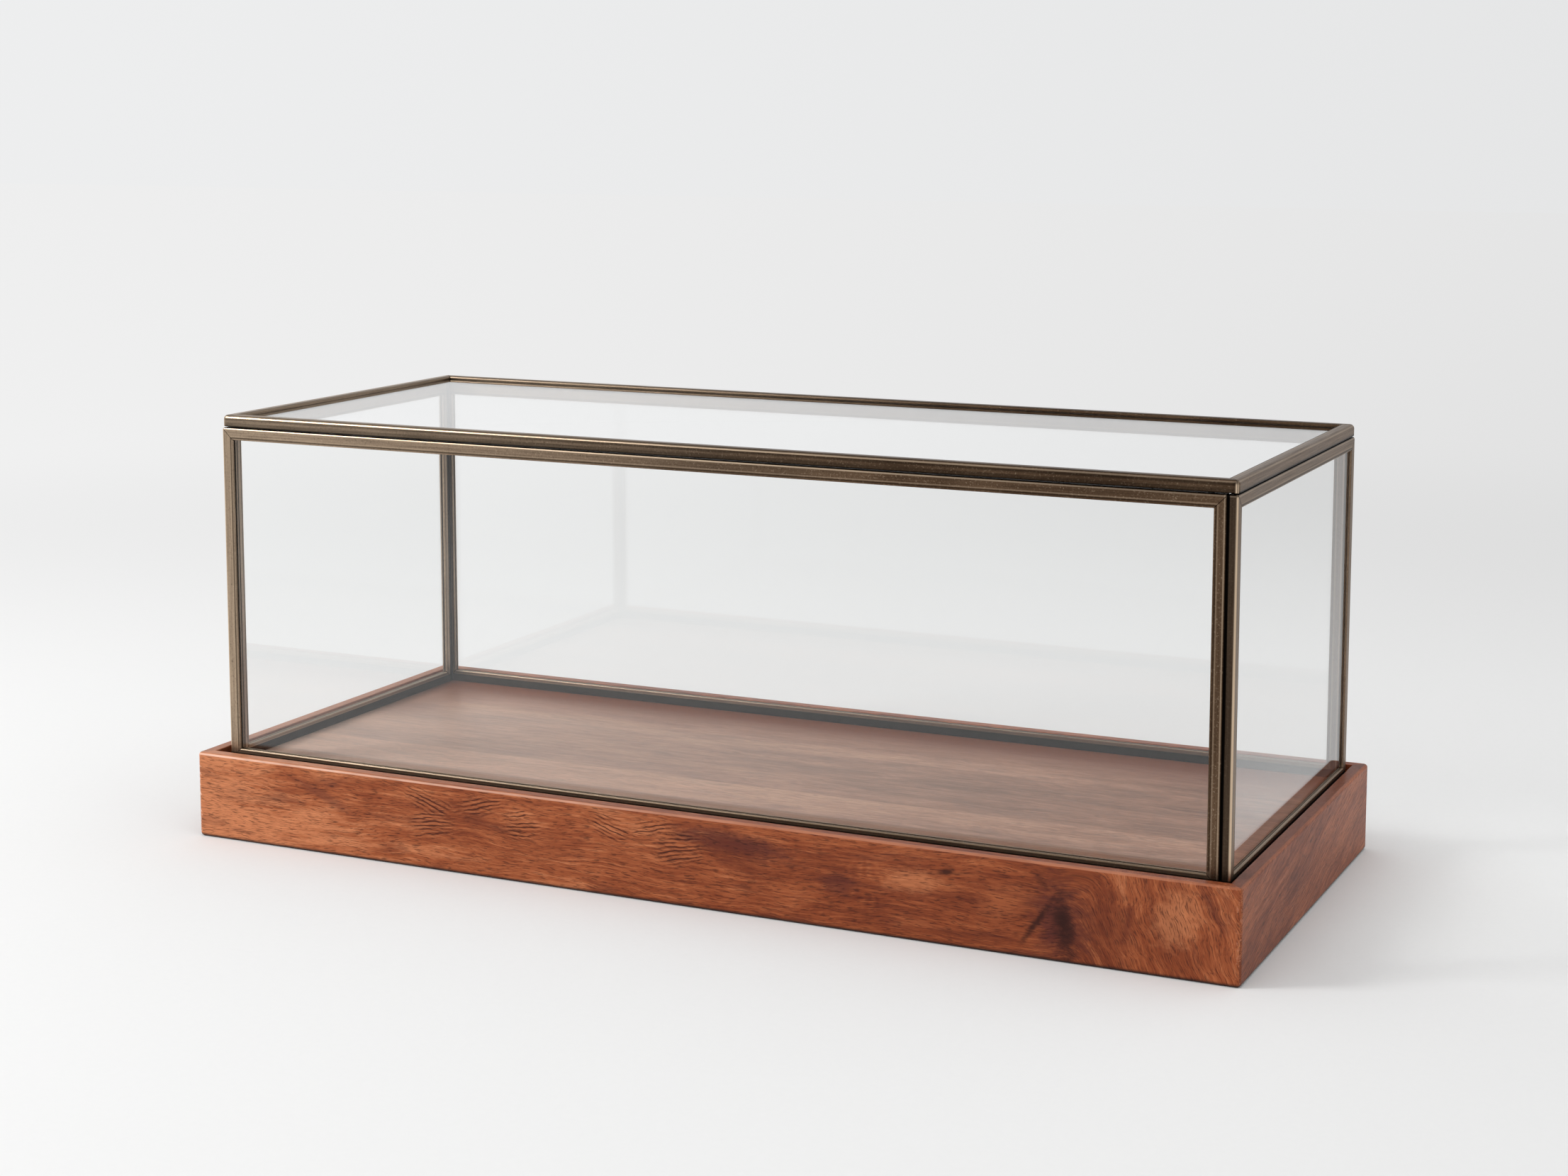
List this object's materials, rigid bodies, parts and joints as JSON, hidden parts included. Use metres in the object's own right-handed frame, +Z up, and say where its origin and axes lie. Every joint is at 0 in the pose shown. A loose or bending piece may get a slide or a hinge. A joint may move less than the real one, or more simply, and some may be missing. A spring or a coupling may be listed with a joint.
{
  "type": "countertop display case",
  "caption": "Long glazed display case with slim aged-brass frames, a hinged glass lid and a mitred hardwood tray that it lifts out of.",
  "frame": {"origin": "on the surface that the tray stands on, under the middle of the tray", "axes": "+X along the case to the right as seen from the front, +Y to the hinged back, +Z up"},
  "size_m": [0.61, 0.26, 0.242],
  "materials": {
    "tray_wood": "satin, reddish brown, figured",
    "floor_wood": "satin, brown, straight grained",
    "frame_brass": "antique bronze patina, satin",
    "hinge_brass": "aged, satin",
    "pane_glass": "clear, polished",
    "dark_pad": "dark brown, soft, matt"
  },
  "bodies": {
    "tray": {"floor_back_plank": "floor_wood", "floor_front_plank": "floor_wood", "floor_middle_plank": "floor_wood", "tray_back_board": "tray_wood", "tray_front_board": "tray_wood", "tray_left_board": "tray_wood", "tray_right_board": "tray_wood"},
    "case": {"back_frame_bottom_rail": "frame_brass", "back_frame_left_stile": "frame_brass", "back_frame_right_stile": "frame_brass", "back_frame_top_rail": "frame_brass", "back_glass": "pane_glass", "front_frame_bottom_rail": "frame_brass", "front_frame_left_stile": "frame_brass", "front_frame_right_stile": "frame_brass", "front_frame_top_rail": "frame_brass", "front_glass": "pane_glass", "left_end_frame_back_stile": "frame_brass", "left_end_frame_bottom_rail": "frame_brass", "left_end_frame_front_stile": "frame_brass", "left_end_frame_top_rail": "frame_brass", "left_end_glass": "pane_glass", "left_hinge_case_leaf": "hinge_brass", "left_hinge_pin": "hinge_brass", "lid_bumpers": "dark_pad", "right_end_frame_back_stile": "frame_brass", "right_end_frame_bottom_rail": "frame_brass", "right_end_frame_front_stile": "frame_brass", "right_end_frame_top_rail": "frame_brass", "right_end_glass": "pane_glass", "right_hinge_case_leaf": "hinge_brass", "right_hinge_pin": "hinge_brass"},
    "lid": {"left_hinge_lid_leaf": "hinge_brass", "lid_back_rail": "frame_brass", "lid_front_rail": "frame_brass", "lid_glass": "pane_glass", "lid_left_rail": "frame_brass", "lid_right_rail": "frame_brass", "right_hinge_lid_leaf": "hinge_brass"}
  },
  "joints": [
    {"name": "case_lift", "type": "slide", "parent": "tray", "child": "case", "axis": [0, 0, 1], "range_m": [0, 0.1]},
    {"name": "lid_hinge", "type": "hinge", "parent": "case", "child": "lid", "pos_m": [0, 0.11892, 0.2353], "axis": [-1, 0, 0], "range_deg": [0, 110]}
  ]
}
